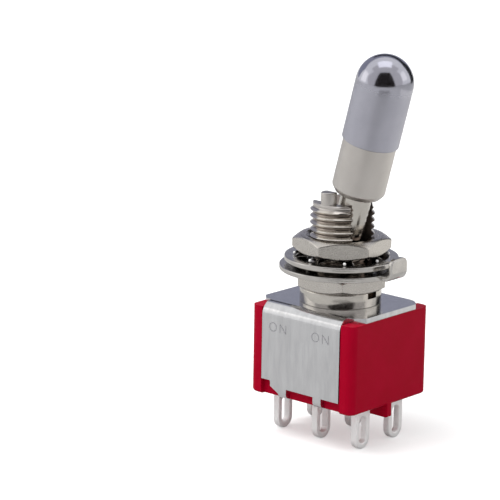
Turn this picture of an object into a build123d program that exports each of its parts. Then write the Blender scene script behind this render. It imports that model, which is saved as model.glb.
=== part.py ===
"""Miniature two-pole panel toggle switch with a pull-up locking sleeve.

The lever leans along X, the lettered plate faces -Y and Z is up.
The origin is on the bushing's axis, in the upper face of the locating ring, where a panel seats.
All sizes are in millimetres.
"""
from build123d import *
import math
import os

# Case moulding
case_length = 12.3
case_depth = 11.2
case_height = 8.4
case_wall = 1.0
case_floor = 1.5
case_edge_radius = 0.8
case_foot_radius = 0.3
divider_thickness = 0.6
divider_height = 1.2
divider_foot_radius = 0.2
inner_divider_thickness = 0.8
inner_divider_height = 2.2

# Folded sheet frame
sheet_thickness = 0.5
sheet_proud = 0.05
flap_width = 9.3
flap_side_gap = 0.08
flap_foot_gap = 0.6
bend_radius = 1.2
plate_side_inset = 0.08
plate_corner_cut = 0.8
flap_corner_width = 1.5
flap_corner_height = 0.9
hook_width = 1.1
hook_spacing = 4.2
hook_reach = 0.9
hook_bend_radius = 0.65

# Threaded bushing
thread_radius = 3.0
thread_top = 5.95
thread_chamfer = 0.25
land_height = 0.55
land_chamfer = 0.1
collar_radius = 3.8
collar_height = 1.4
collar_chamfer = 0.15
spigot_radius = 3.3
rivet_radius = 3.7
rivet_height = 0.35
lever_slot_width = 3.1
lever_slot_floor = 2.45
key_width = 1.2
key_depth = 0.5
key_foot = 0.8
stud_radius = 0.74
stud_inset = 0.01
stud_height = 1.15
stud_chamfer = 0.12
bore_relief_height = 2.3
bore_relief_radius = 2.6

# Nuts, lock washer and locating ring
nut_across_flats = 8.0
nut_thickness = 1.6
nut_chamfer_angle = 30
nut_mouth = 0.35
nut_clearance = 0.02
upper_nut_turn = -48.6
lower_nut_turn = -18.6
washer_rim_radius = 5.3
washer_rim_width = 0.95
washer_thickness = 0.5
washer_gap = 1.2
washer_teeth = 8
washer_tooth_root = 3.25
washer_tooth_twist = 33
washer_tooth_thickness = 0.42
washer_turn = 0.9
ring_radius = 5.75
ring_thickness = 0.45
ring_clearance = 0.05
tab_width = 2.2
tab_face_reach = 6.9
tab_height = 2.15
tab_bend_radius = 0.9
tab_corner_radius = 0.65

# Lever
lever_lean = 15
pivot_height = 0.6
ball_radius = 2.0
ball_clearance = 0.05
stem_radius = 1.45
stem_clearance = 0.15
tail_radius = 0.85
tail_reach = 8.0
rod_head_radius = 1.7
rod_head_height = 0.3

# Locking sleeve, cap and return spring, measured along the lever from its pivot
sleeve_foot = 6.6
sleeve_length = 8.4
sleeve_radius = 2.48
sleeve_chamfer_width = 0.35
sleeve_chamfer_height = 0.5
sleeve_shoulder = 1.4
sleeve_bore_clearance = 0.07
spring_chamber_radius = 1.9
cap_overlap = 3.2
cap_radius = 2.65
cap_straight = 5.75
cap_foot_chamfer = 0.15
cap_chamber_height = 2.6
sleeve_travel = 1.8
retainer_radius = 1.8
retainer_height = 0.7
retainer_drop = 0.2
return_wire = 0.25
return_coil_radius = 1.7
return_turns = 5

# Actuator block, plungers and their springs
block_length = 3.6
block_side_gap = 0.2
block_height = 2.6
block_running_gap = 0.2
block_edge_radius = 0.4
block_pin_radius = 0.35
block_pin_length = 3.4
block_pin_drop = 0.8
plunger_radius = 0.7
plunger_clearance = 0.05
plunger_guided = 1.4
plunger_room = 1.3
plunger_travel = 0.5
plunger_tip_gap = 0.05
plunger_wire = 0.2
plunger_coil_radius = 0.45
plunger_turns = 2
coil_end_gap = 0.02

# Contacts and solder lugs
lug_side_gap = 0.1
row_pitch = 4.8
lug_width = 2.0
lug_thickness = 0.7
lug_length = 3.94
lug_eye_width = 1.0
lug_eye_length = 2.6
lug_eye_margin = 0.55
pad_height = 0.7
rocker_throw = 8
rocker_thickness = 0.35
rocker_width = 1.9
rocker_waist = 1.1
rocker_waist_length = 1.1
rocker_foot_length = 0.9
rocker_foot_lift = 0.45
rocker_contact_gap = 0.03
cradle_horn_width = 0.35
cradle_horn_height = 0.8

# Levels up the Z axis, from the panel seat at zero
ring_foot = -ring_thickness
lower_nut_foot = ring_foot - nut_thickness
frame_top = lower_nut_foot - collar_height
case_top = frame_top - sheet_thickness
case_foot = case_top - case_height
floor_top = case_foot + case_floor
rivet_foot = case_top - rivet_height
land_foot = thread_top - land_height
land_radius = thread_radius - thread_chamfer
stud_offset = land_radius - stud_inset - stud_radius
bore_radius = ball_radius + ball_clearance

# Plan sizes that follow from the ones above
frame_half_depth = case_depth / 2 + sheet_proud
recess_face = frame_half_depth - sheet_thickness
cavity_length = case_length - 2 * case_wall
cavity_depth = 2 * recess_face - 2 * case_wall
block_depth = cavity_depth - 2 * block_side_gap
lug_pitch = case_length / 2 - case_wall - lug_side_gap - lug_thickness / 2

# Sizes along the lever from its pivot, positive upwards
sleeve_top = sleeve_foot + sleeve_length
shoulder_top = sleeve_foot + sleeve_shoulder
cap_foot = sleeve_top - cap_overlap
retainer_foot = sleeve_top + retainer_drop
rod_top = retainer_foot + retainer_height + rod_head_height

# The pocket below the slot lets the stem lean to both throws
lean = math.radians(lever_lean)
pocket_height = lever_slot_floor - pivot_height
pocket_reach = pocket_height * math.tan(lean) + stem_radius / math.cos(lean) + stem_clearance

# The block's upper corners just pass under the riveted end of the bushing
block_top = -(
    pivot_height - rivet_foot + block_running_gap + block_length / 2 * math.sin(lean)
) / math.cos(lean)
block_foot = block_top - block_height

# The rocker's foot rests on the lower pad while its back rides on the cradle
throw = math.radians(rocker_throw)
pad_top = floor_top + pad_height
foot_centre = lug_pitch - rocker_foot_length / 4
foot_outer = foot_centre + rocker_foot_length / 2
cradle_top = pad_top + rocker_contact_gap - rocker_foot_lift * math.cos(throw) + foot_outer * math.sin(throw)
rocker_seat = cradle_top + rocker_contact_gap

# The plunger's round tip swings about the lever's pivot, and the rocker's dish follows its path
tip_swing = pivot_height - rocker_seat - rocker_thickness - plunger_tip_gap - plunger_radius
tip_side = tip_swing * math.sin(lean)
tip_rise = pivot_height - cradle_top - tip_swing * math.cos(lean)
tip_end_side = tip_side * math.cos(throw) - tip_rise * math.sin(throw)
tip_end_rise = tip_side * math.sin(throw) + tip_rise * math.cos(throw)
tip_mid_rise = pivot_height - cradle_top - tip_swing
tip_climb = tip_end_rise - tip_mid_rise
path_radius = (tip_end_side**2 + tip_climb**2) / (2 * tip_climb)
dish_radius = path_radius + plunger_radius + plunger_tip_gap
dish_centre = tip_mid_rise + path_radius
dish_half_angle = math.degrees(math.asin(tip_end_side / path_radius)) + 4

LEVER_PLACE = Pos(0, 0, pivot_height) * Rot(0, lever_lean, 0)
SIDES = {"front": -1, "back": 1}


def disc(radius, foot, height):
    """Solid cylinder on the Z axis that stands on the level foot."""
    return Pos(0, 0, foot) * Cylinder(radius, height, align=(Align.CENTER, Align.CENTER, Align.MIN))


def bar(length, depth, foot, height):
    """Solid box centred on the Z axis that stands on the level foot."""
    return Pos(0, 0, foot) * Box(length, depth, height, align=(Align.CENTER, Align.CENTER, Align.MIN))


def turned(points):
    """Solid turned about the Z axis from an outline of (radius, level) points."""
    return revolve(make_face(Plane.XZ * Polyline(*points, close=True)), Axis.Z)


def arched_prism(half_depth, top, foot, radius, length):
    """Prism along X whose two upper long edges are rounded."""
    block = bar(length, 2 * half_depth, foot, top - foot)
    edges = block.edges().filter_by(Axis.X).group_by(Axis.Z)[-1]
    return fillet(edges, radius)


def dish_point(radius, angle):
    """Point of an arc about the dish's centre, an angle out from its lowest point."""
    return radius * math.sin(angle), dish_centre - radius * math.cos(angle)


def coil(wire, radius, length, turns):
    """Square-wire helix along Z from the origin, with its ends inside the length."""
    rise = length - wire - 2 * coil_end_gap
    path = Pos(0, 0, wire / 2 + coil_end_gap) * Helix(rise / turns, rise, radius)
    section = Plane(path @ 0, x_dir=(1, 0, 0), z_dir=path % 0) * Rectangle(wire, wire)
    return sweep(section, path=path, is_frenet=True)


def cross_pin():
    """Pin along Y through the block and the tail, with the lever upright and its pivot at the origin."""
    pin = Cylinder(block_pin_radius, block_pin_length)
    return Pos(0, 0, block_top - block_pin_drop) * Rot(90, 0, 0) * pin


def make_housing():
    """Moulded cup with side recesses for the frame, lug slots and a divider below."""
    block = bar(case_length, case_depth, case_foot, case_height)
    block = fillet(block.edges().filter_by(Axis.Z), case_edge_radius)
    block = fillet(block.faces().sort_by(Axis.Z)[0].edges(), case_foot_radius)
    recess_length = flap_width + 2 * flap_side_gap
    core = arched_prism(recess_face, case_top, case_foot, bend_radius - sheet_thickness, case_length)
    core = fillet(core.edges().filter_by(Axis.X).group_by(Axis.Z)[0], hook_bend_radius - sheet_thickness)
    recess = bar(recess_length, 2 * case_depth, case_foot, case_height) - core
    cavity = bar(cavity_length, cavity_depth, floor_top, case_height)
    divider = bar(case_length, divider_thickness, case_foot - divider_height, divider_height)
    divider = fillet(divider.edges().filter_by(Axis.Y).group_by(Axis.Z)[0], divider_foot_radius)
    inner = bar(cavity_length, inner_divider_thickness, floor_top, inner_divider_height)
    housing = block - recess - cavity + divider + inner
    for side in SIDES.values():
        for step in (-1, 0, 1):
            slot = bar(lug_thickness, lug_width, case_foot, case_floor)
            housing -= Pos(step * lug_pitch, side * row_pitch / 2, 0) * slot
    return housing


def make_hook():
    """Strip that runs on from the front flap and curls under the case."""
    top = case_foot + flap_foot_gap
    foot = case_foot - sheet_thickness
    outer = Pos(0, -frame_half_depth, foot) * Box(
        hook_width, sheet_thickness + hook_reach, top - foot, align=(Align.CENTER, Align.MIN, Align.MIN)
    )
    outer = fillet(outer.edges().filter_by(Axis.X).group_by(Axis.Z)[0].sort_by(Axis.Y)[0], hook_bend_radius)
    inner = Pos(0, -recess_face, case_foot) * Box(
        hook_width, hook_reach, top - foot, align=(Align.CENTER, Align.MIN, Align.MIN)
    )
    inner_radius = hook_bend_radius - sheet_thickness
    inner = fillet(inner.edges().filter_by(Axis.X).group_by(Axis.Z)[0].sort_by(Axis.Y)[0], inner_radius)
    return outer - inner


def make_frame_bracket():
    """Folded sheet over the case: a top plate, two flaps and four hooks."""
    flap_foot = case_foot + flap_foot_gap
    outer = arched_prism(frame_half_depth, frame_top, flap_foot, bend_radius, flap_width)
    inner = arched_prism(recess_face, case_top, flap_foot, bend_radius - sheet_thickness, flap_width)
    frame = outer - inner
    wing = bar(case_length - 2 * plate_side_inset, case_depth - 2 * bend_radius, case_top, sheet_thickness)
    frame += chamfer(wing.edges().filter_by(Axis.Z), plate_corner_cut)
    corner = make_face(
        Plane.XZ
        * Polyline(
            (-flap_width / 2, flap_foot),
            (-flap_width / 2 + flap_corner_width, flap_foot),
            (-flap_width / 2, flap_foot + flap_corner_height),
            close=True,
        )
    )
    cut = extrude(corner, case_depth)
    for turn in (0, 180):
        frame -= Rot(0, 0, turn) * cut
        for step in (-1, 1):
            frame += Rot(0, 0, turn) * Pos(step * hook_spacing / 2, 0, 0) * make_hook()
    return frame - disc(spigot_radius, case_top, sheet_thickness)


def make_bushing():
    """Threaded bushing: riveted spigot, keyed collar, slotted thread, plain end land and two end studs."""
    body = turned(
        [
            (0, rivet_foot),
            (rivet_radius, rivet_foot),
            (rivet_radius, case_top),
            (spigot_radius, case_top),
            (spigot_radius, frame_top),
            (collar_radius, frame_top),
            (collar_radius, lower_nut_foot - collar_chamfer),
            (collar_radius - collar_chamfer, lower_nut_foot),
            (thread_radius, lower_nut_foot),
            (thread_radius, land_foot - thread_chamfer),
            (land_radius, land_foot),
            (land_radius, thread_top - land_chamfer),
            (land_radius - land_chamfer, thread_top),
            (0, thread_top),
        ]
    )
    stud_foot = thread_top - land_chamfer
    stud_top = thread_top + stud_height
    for side in SIDES.values():
        stud = Pos(0, side * stud_offset, 0) * disc(stud_radius, stud_foot, stud_top - stud_foot)
        body += chamfer(stud.faces().sort_by(Axis.Z)[-1].edges(), stud_chamfer)
    slot = bar(2 * collar_radius, lever_slot_width, lever_slot_floor, stud_top - lever_slot_floor)
    pocket = bar(2 * pocket_reach, lever_slot_width, pivot_height, pocket_height)
    seat = Pos(0, 0, pivot_height) * Sphere(bore_radius)
    bore = disc(bore_radius, rivet_foot, pivot_height - rivet_foot)
    relief = turned(
        [
            (0, rivet_foot),
            (bore_relief_radius, rivet_foot),
            (bore_radius, rivet_foot + bore_relief_height),
            (0, rivet_foot + bore_relief_height),
        ]
    )
    key_floor = thread_radius - key_depth
    key_start = frame_top + key_foot
    key = Pos(key_floor, 0, key_start) * Box(
        collar_radius, key_width, lever_slot_floor - key_start, align=(Align.MIN, Align.CENTER, Align.MIN)
    )
    return body - slot - pocket - seat - bore - relief - key


def make_nut(foot, turn):
    """Hexagon nut with both rims chamfered and both thread mouths opened out."""
    prism = extrude(RegularPolygon(nut_across_flats / 2, 6, major_radius=False, rotation=30), nut_thickness)
    corner = nut_across_flats / 2 / math.cos(math.radians(30))
    drop = (corner - nut_across_flats / 2) * math.tan(math.radians(nut_chamfer_angle))
    flat = nut_across_flats / 2
    rim = turned(
        [
            (0, 0),
            (flat, 0),
            (corner, drop),
            (corner, nut_thickness - drop),
            (flat, nut_thickness),
            (0, nut_thickness),
        ]
    )
    hole = thread_radius + nut_clearance
    bore = turned(
        [
            (0, 0),
            (hole + nut_mouth, 0),
            (hole, nut_mouth),
            (hole, nut_thickness - nut_mouth),
            (hole + nut_mouth, nut_thickness),
            (0, nut_thickness),
        ]
    )
    return Pos(0, 0, foot) * Rot(0, 0, turn) * ((prism & rim) - bore)


def make_lock_washer():
    """Toothed lock washer: a flat rim with twisted teeth that point inwards."""
    middle = washer_gap / 2
    inner = washer_rim_radius - washer_rim_width
    washer = disc(washer_rim_radius, middle - washer_thickness / 2, washer_thickness)
    washer -= disc(inner, middle - washer_thickness / 2, washer_thickness)
    twist = math.radians(washer_tooth_twist)
    width = (washer_gap - washer_tooth_thickness * math.cos(twist)) / math.sin(twist)
    reach = washer_rim_radius - washer_rim_width / 2 - washer_tooth_root
    tooth = Box(reach, width, washer_tooth_thickness, align=(Align.MIN, Align.CENTER, Align.CENTER))
    tooth = Pos(washer_tooth_root, 0, middle) * Rot(washer_tooth_twist, 0, 0) * tooth
    for index in range(washer_teeth):
        washer += Rot(0, 0, washer_turn + index * 360 / washer_teeth) * tooth
    return washer


def make_locating_ring():
    """Flat keyed ring whose outer tab is bent up to enter a hole in the panel."""
    ring = disc(ring_radius, ring_foot, ring_thickness)
    ring -= disc(thread_radius + ring_clearance, ring_foot, ring_thickness)
    root = ring_radius - tab_bend_radius
    tab = Pos(root, 0, ring_foot) * Box(
        tab_face_reach - root, tab_width, tab_height, align=(Align.MIN, Align.CENTER, Align.MIN)
    )
    tab = fillet(tab.edges().filter_by(Axis.X).group_by(Axis.Z)[-1], tab_corner_radius)
    tab = fillet(tab.edges().filter_by(Axis.Y).group_by(Axis.Z)[0].sort_by(Axis.X)[-1], tab_bend_radius)
    hollow_length = tab_face_reach - root - ring_thickness
    hollow = Pos(root, 0, 0) * Box(
        hollow_length, 2 * tab_width, tab_height, align=(Align.MIN, Align.CENTER, Align.MIN)
    )
    bend_edge = hollow.edges().filter_by(Axis.Y).group_by(Axis.Z)[0].sort_by(Axis.X)[-1]
    hollow = fillet(bend_edge, tab_bend_radius - ring_thickness)
    tongue_tip = thread_radius - key_depth + ring_clearance
    tongue = Pos(tongue_tip, 0, ring_foot) * Box(
        thread_radius + 2 * ring_clearance + ring_thickness - tongue_tip,
        key_width - 2 * ring_clearance,
        ring_thickness,
        align=(Align.MIN, Align.CENTER, Align.MIN),
    )
    return ring + (tab - hollow) + tongue


def make_lug(middle):
    """Solder lug: a rounded blade with a long eye, topped by a pad or a rocker cradle."""
    foot = case_foot - lug_length
    blade = bar(lug_thickness, lug_width, foot, pad_top - foot)
    if middle:
        nose = cradle_top - lug_thickness / 2
        blade = bar(lug_thickness, lug_width, foot, nose - foot)
        edge = Pos(0, 0, nose) * Rot(90, 0, 0) * Cylinder(lug_thickness / 2, lug_width)
        horn = bar(lug_thickness, cradle_horn_width, floor_top, cradle_top + cradle_horn_height - floor_top)
        shift = (lug_width - cradle_horn_width) / 2
        blade = blade + edge + Pos(0, shift, 0) * horn + Pos(0, -shift, 0) * horn
    blade = fillet(blade.edges().filter_by(Axis.X).group_by(Axis.Z)[0], lug_width / 2 - 0.01)
    outline = SlotOverall(lug_eye_length, lug_eye_width, rotation=90)
    eye = extrude(Plane.YZ * outline, lug_thickness, both=True)
    return blade - Pos(0, 0, foot + lug_eye_margin + lug_eye_length / 2) * eye


def make_lever_stem():
    """One turned piece: the tail, the pivot ball, the stem and the riveted rod end."""
    shaft = disc(stem_radius, 0, rod_top - rod_head_height)
    head = disc(rod_head_radius, rod_top - rod_head_height, rod_head_height)
    tail = disc(tail_radius, -tail_reach, tail_reach)
    return LEVER_PLACE * (shaft + Sphere(ball_radius) + tail + head - cross_pin())


def make_spring_retainer():
    """Washer held on the rod by its riveted end."""
    washer = disc(retainer_radius, retainer_foot, retainer_height)
    return LEVER_PLACE * (washer - disc(stem_radius, retainer_foot, retainer_height))


def make_return_spring():
    """Coil that pushes the sleeve back down from the retainer."""
    length = retainer_foot - shoulder_top
    spring = coil(return_wire, return_coil_radius, length, return_turns)
    return LEVER_PLACE * Pos(0, 0, shoulder_top) * spring


def make_lock_sleeve():
    """Pull-up sleeve with an inner shoulder for the return spring."""
    bore = stem_radius + sleeve_bore_clearance
    return LEVER_PLACE * turned(
        [
            (bore, sleeve_foot),
            (sleeve_radius - sleeve_chamfer_width, sleeve_foot),
            (sleeve_radius, sleeve_foot + sleeve_chamfer_height),
            (sleeve_radius, sleeve_top),
            (spring_chamber_radius, sleeve_top),
            (spring_chamber_radius, shoulder_top),
            (bore, shoulder_top),
        ]
    )


def make_lever_cap():
    """Domed grip pressed over the sleeve."""
    shoulder = cap_foot + cap_straight
    outer = disc(cap_radius, cap_foot, cap_straight) + Pos(0, 0, shoulder) * Sphere(cap_radius)
    outer = chamfer(outer.faces().sort_by(Axis.Z)[0].edges(), cap_foot_chamfer)
    socket = disc(sleeve_radius, cap_foot, cap_overlap)
    chamber = disc(spring_chamber_radius, sleeve_top, cap_chamber_height)
    return LEVER_PLACE * (outer - socket - chamber)


def make_actuator_block():
    """Moulded block pinned to the tail, with a blind hole for each plunger."""
    block = bar(block_length, block_depth, block_foot, block_height)
    block = fillet(block.edges().filter_by(Axis.Y), block_edge_radius)
    block -= disc(tail_radius, -tail_reach, tail_reach)
    block -= cross_pin()
    hole = disc(plunger_radius + plunger_clearance, block_foot, plunger_guided + plunger_room)
    for side in SIDES.values():
        block -= Pos(0, side * row_pitch / 2, 0) * hole
    return LEVER_PLACE * block


def make_block_pin():
    """Cross pin that holds the block on the tail."""
    return LEVER_PLACE * cross_pin()


def make_plunger(side):
    """Round-nosed pin that slides in the block and rides on a rocker."""
    pin = disc(plunger_radius, -tip_swing, block_foot + plunger_guided + tip_swing)
    pin += Pos(0, 0, -tip_swing) * Sphere(plunger_radius)
    return LEVER_PLACE * Pos(0, side * row_pitch / 2, 0) * pin


def make_plunger_spring(side):
    """Coil between a plunger and the end of its hole."""
    spring = coil(plunger_wire, plunger_coil_radius, plunger_room, plunger_turns)
    return LEVER_PLACE * Pos(0, side * row_pitch / 2, block_foot + plunger_guided) * spring


def make_rocker(side):
    """Formed contact strip: a dish for the plunger, two arms and two flat feet."""
    end = math.radians(dish_half_angle)
    outer = dish_radius + rocker_thickness
    foot_inner = foot_centre - rocker_foot_length / 2
    foot_top = rocker_foot_lift + rocker_thickness
    arm = Polyline(
        dish_point(dish_radius, end),
        (foot_inner, foot_top),
        (foot_outer, foot_top),
        (foot_outer, rocker_foot_lift),
        (foot_inner - rocker_thickness / 2, rocker_foot_lift),
        dish_point(outer, end),
    )
    upper = ThreePointArc(*(dish_point(dish_radius, end * share) for share in (0, 0.5, 1)))
    lower = ThreePointArc(*(dish_point(outer, end * share) for share in (1, 0.5, 0)))
    middle = Line(dish_point(outer, 0), dish_point(dish_radius, 0))
    half = make_face([upper, arm, lower, middle])
    strip = extrude(Plane.XZ * half, rocker_width / 2, both=True)
    strip += mirror(strip, Plane.YZ)
    waist = bar(rocker_waist_length, rocker_width, 0, dish_radius)
    waist -= bar(rocker_waist_length, rocker_waist, 0, dish_radius)
    return Pos(0, side * row_pitch / 2, cradle_top) * Rot(0, -rocker_throw, 0) * (strip - waist)


def make_lugs():
    """Two rows of three lugs: a cradle lug in the middle and a pad lug at each end."""
    lugs = {}
    for side_name, side in SIDES.items():
        for step, step_name in ((-1, "left"), (0, "common"), (1, "right")):
            place = Pos(step * lug_pitch, side * row_pitch / 2, 0)
            lugs[f"lug_{step_name}_{side_name}"] = place * make_lug(step == 0)
    return lugs


def make_pieces():
    """Every piece of the switch by its node name."""
    pieces = {
        "housing": make_housing(),
        "frame_bracket": make_frame_bracket(),
        "bushing": make_bushing(),
        "lower_nut": make_nut(lower_nut_foot, lower_nut_turn),
        "locating_ring": make_locating_ring(),
        "lock_washer": make_lock_washer(),
        "upper_nut": make_nut(washer_gap, upper_nut_turn),
        "lever_stem": make_lever_stem(),
        "spring_retainer": make_spring_retainer(),
        "return_spring": make_return_spring(),
        "lock_sleeve": make_lock_sleeve(),
        "lever_cap": make_lever_cap(),
        "actuator_block": make_actuator_block(),
        "block_pin": make_block_pin(),
    }
    pieces.update(make_lugs())
    for name, side in SIDES.items():
        pieces[f"plunger_{name}"] = make_plunger(side)
        pieces[f"plunger_spring_{name}"] = make_plunger_spring(side)
        pieces[f"rocker_{name}"] = make_rocker(side)
    return pieces


os.makedirs("parts", exist_ok=True)
for node, piece in make_pieces().items():
    export_step(piece, f"parts/{node}.step")
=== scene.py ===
"""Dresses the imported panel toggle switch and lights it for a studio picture.

Every piece is modelled in millimetres in the row frame: Z up the bushing, +X the way the lever
leans, -Y out of the lettered plate, and the origin in the locating ring's upper face.
"""
import logging
import math
from dataclasses import dataclass
from enum import Enum
from typing import Callable, Sequence

import bmesh
import bpy
from mathutils import Matrix, Vector


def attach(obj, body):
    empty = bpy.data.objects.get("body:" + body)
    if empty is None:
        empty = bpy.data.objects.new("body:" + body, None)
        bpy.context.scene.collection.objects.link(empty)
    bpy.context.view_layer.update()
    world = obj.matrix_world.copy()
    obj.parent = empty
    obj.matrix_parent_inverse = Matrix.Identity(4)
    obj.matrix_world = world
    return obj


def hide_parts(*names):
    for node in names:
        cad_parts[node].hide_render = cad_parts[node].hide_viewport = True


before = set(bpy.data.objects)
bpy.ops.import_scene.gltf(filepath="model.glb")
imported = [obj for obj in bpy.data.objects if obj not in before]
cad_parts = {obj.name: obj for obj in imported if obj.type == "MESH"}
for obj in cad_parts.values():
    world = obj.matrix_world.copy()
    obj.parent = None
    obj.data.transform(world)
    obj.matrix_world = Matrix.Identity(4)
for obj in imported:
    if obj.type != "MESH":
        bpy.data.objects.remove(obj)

log = logging.getLogger("toggle_switch")

MM = 0.001
TURN = 2 * math.pi
HAIR = 0.001  # tells a face from its neighbours, or keeps the two apart
OVER = 1.0  # how far a cutting form passes what it cuts
FAR = 20.0  # past the whole switch
WELD = 1e-5  # points nearer than this become one

Form = bmesh.types.BMesh
Finish = bpy.types.Material
Socket = bpy.types.NodeSocket
Point = tuple[float, float]
Spot = tuple[float, float, float]
Colour = tuple[float, float, float]
Where = Callable[[Vector], bool]


class Join(Enum):
    """Ways of combining two closed forms."""

    REMOVE = "DIFFERENCE"
    ADD = "UNION"


class Body(Enum):
    """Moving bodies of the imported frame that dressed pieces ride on."""

    CASE = "case"
    LEVER = "lever"
    SLEEVE = "sleeve"


class Axis(Enum):
    """Axes that an outline is extruded along, as the order that puts (u, v, level) into x, y, z."""

    X = (2, 0, 1)
    Y = (0, 2, 1)
    Z = (0, 1, 2)


class Area(Enum):
    """Areas of the bushing, in the order of their finishes."""

    COLLAR = 0
    THREAD = 1
    END = 2
    SLOT_WALL = 3


# ---------------------------------------------------------------- outlines


def softened(corners: Sequence[Sequence[float]], parts: int = 5,
             closed: bool = True) -> list[Point]:
    """Round the corners of a plane outline.

    Args:
        corners: (u, v) or (u, v, radius) of each corner; no radius keeps it sharp.
        parts: facets in each rounded corner.
        closed: whether the last corner joins the first.

    Returns:
        The points of the rounded outline.
    """
    points: list[Point] = []
    count = len(corners)
    for index, corner in enumerate(corners):
        here = Vector(corner[:2])
        radius = corner[2] if len(corner) > 2 else 0.0
        if radius <= 0 or (not closed and index in (0, count - 1)):
            points.append((here.x, here.y))
            continue
        back = (Vector(corners[index - 1][:2]) - here).normalized()
        ahead = (Vector(corners[(index + 1) % count][:2]) - here).normalized()
        angle = back.angle(ahead)
        start = here + back * (radius / math.tan(angle / 2))
        centre = here + (back + ahead).normalized() * (radius / math.sin(angle / 2))
        turn = math.pi - angle
        if back.x * ahead.y - back.y * ahead.x > 0:
            turn = -turn
        for part in range(parts + 1):
            tip = centre + Matrix.Rotation(turn * part / parts, 2) @ (start - centre)
            points.append((tip.x, tip.y))
    return points


def rounded_box(half_width: float, half_height: float, radius: float, parts: int) -> list[Point]:
    """Outline of a rectangle about the origin with that many facets in each rounded corner."""
    signs = ((1, 1), (-1, 1), (-1, -1), (1, -1))
    return softened([(u * half_width, v * half_height, radius) for u, v in signs], parts)


def arc(centre: Point, radius: float, start: float, end: float, parts: int) -> list[Point]:
    """Points of a circular arc.

    Args:
        centre: centre of the arc.
        radius: its radius.
        start: first angle in degrees.
        end: last angle in degrees.
        parts: facets along it.

    Returns:
        parts + 1 points.
    """
    spins = [math.radians(start + (end - start) * part / parts) for part in range(parts + 1)]
    return [(centre[0] + radius * math.cos(s), centre[1] + radius * math.sin(s)) for s in spins]


# ---------------------------------------------------------------- forms


def faced(form: Form) -> Form:
    """Turn every face of a closed form outwards."""
    bmesh.ops.recalc_face_normals(form, faces=form.faces[:])
    return form


def cover(form: Form, loop: Sequence[bmesh.types.BMVert]) -> None:
    """Add a face over the vertices of a loop that differ, if three or more do.

    Args:
        form: the form that gets the face.
        loop: its corners in order, some of which may be the same vertex.
    """
    corners = list(dict.fromkeys(loop))
    if len(corners) > 2:
        form.faces.new(corners)


def skinned(rings: Sequence[Sequence[Spot]], closed: bool = False, capped: bool = False) -> Form:
    """Lay faces from ring to ring.

    Args:
        rings: rings of points, all of the same number; a ring of one point is a tip.
        closed: whether the last ring joins the first.
        capped: whether a face closes each end.

    Returns:
        The form.
    """
    form = bmesh.new()
    rows = [[form.verts.new(spot) for spot in ring] for ring in rings]
    for low, high in list(zip(rows, rows[1:])) + ([(rows[-1], rows[0])] if closed else []):
        count = max(len(low), len(high))
        for step in range(count):
            after = (step + 1) % count
            cover(form, (low[step % len(low)], low[after % len(low)],
                         high[after % len(high)], high[step % len(high)]))
    for end in (rows[0], rows[-1]) if capped else ():
        form.faces.new(end)
    return faced(form)


def lathe(outline: Sequence[Point], steps: int = 96, ring: bool = False) -> Form:
    """Turn an outline about the Z axis.

    Args:
        outline: (radius, level) points; a radius of 0 closes the form on the axis.
        steps: facets round the axis.
        ring: whether the last point joins the first.

    Returns:
        The turned form.
    """
    spins = [TURN * step / steps for step in range(steps)]
    return skinned([
        [(0, 0, level)] if radius < HAIR else
        [(radius * math.cos(spin), radius * math.sin(spin), level) for spin in spins]
        for radius, level in outline
    ], ring)


def flat_ring(inner: float, outer: float, foot: float, top: float, edges: Point,
              steps: int) -> Form:
    """Flat turned ring.

    Args:
        inner: radius of its hole.
        outer: radius of its rim.
        foot: level of its lower face.
        top: level of its upper face.
        edges: radii of the hole's and the rim's rounded edges.
        steps: facets round it.

    Returns:
        The ring.
    """
    hole, rim = edges
    outline = [(inner, foot, hole), (outer, foot, rim), (outer, top, rim), (inner, top, hole)]
    return lathe(softened(outline, 4), steps, True)


def prism(outline: Sequence[Point], start: float, end: float, axis: Axis = Axis.Z) -> Form:
    """Extrude a plane outline along an axis.

    Args:
        outline: points across the axis: (y, z) along X, (x, z) along Y, (x, y) along Z.
        start: level of the first end.
        end: level of the second end.
        axis: the axis.

    Returns:
        The closed form.
    """
    rings = [[tuple((u, v, level)[index] for index in axis.value) for u, v in outline]
             for level in (start, end)]
    return skinned(rings, capped=True)


def block(low: Spot, high: Spot) -> Form:
    """Plain cutting block between two opposite corners."""
    outline = [(low[0], low[1]), (high[0], low[1]), (high[0], high[1]), (low[0], high[1])]
    return prism(outline, low[2], high[2])


def flattened(form: Form) -> Form:
    """Merge the faces that lie in one plane, and turn all of them outwards.

    Args:
        form: the form to clean.

    Returns:
        The same form.
    """
    bmesh.ops.dissolve_limit(form, angle_limit=math.radians(0.5), verts=form.verts[:],
                             edges=form.edges[:])
    return faced(form)


def eased(form: Form, width: float, sharp: float, parts: int, where: Where | None = None) -> Form:
    """Bevel the sharp edges of a form.

    Args:
        form: the form to bevel.
        width: bevel width.
        sharp: smallest angle between two faces, in degrees, that counts as an edge.
        parts: facets across the bevel.
        where: keeps only edges whose middle passes this test.

    Returns:
        The same form.
    """
    edges = []
    for edge in form.edges:
        if len(edge.link_faces) != 2 or edge.calc_face_angle(0) < math.radians(sharp):
            continue
        middle = (edge.verts[0].co + edge.verts[1].co) / 2
        if where is None or where(middle):
            edges.append(edge)
    bmesh.ops.bevel(form, geom=edges, offset=width, offset_type="OFFSET", segments=parts,
                    profile=0.5, affect="EDGES", clamp_overlap=True)
    return form


def moved(form: Form, matrix: Matrix) -> Form:
    """Move a form by a matrix."""
    bmesh.ops.transform(form, matrix=matrix, verts=form.verts[:])
    return form


def spun(degrees: float) -> Matrix:
    """Rotation about the Z axis."""
    return Matrix.Rotation(math.radians(degrees), 4, "Z")


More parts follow.
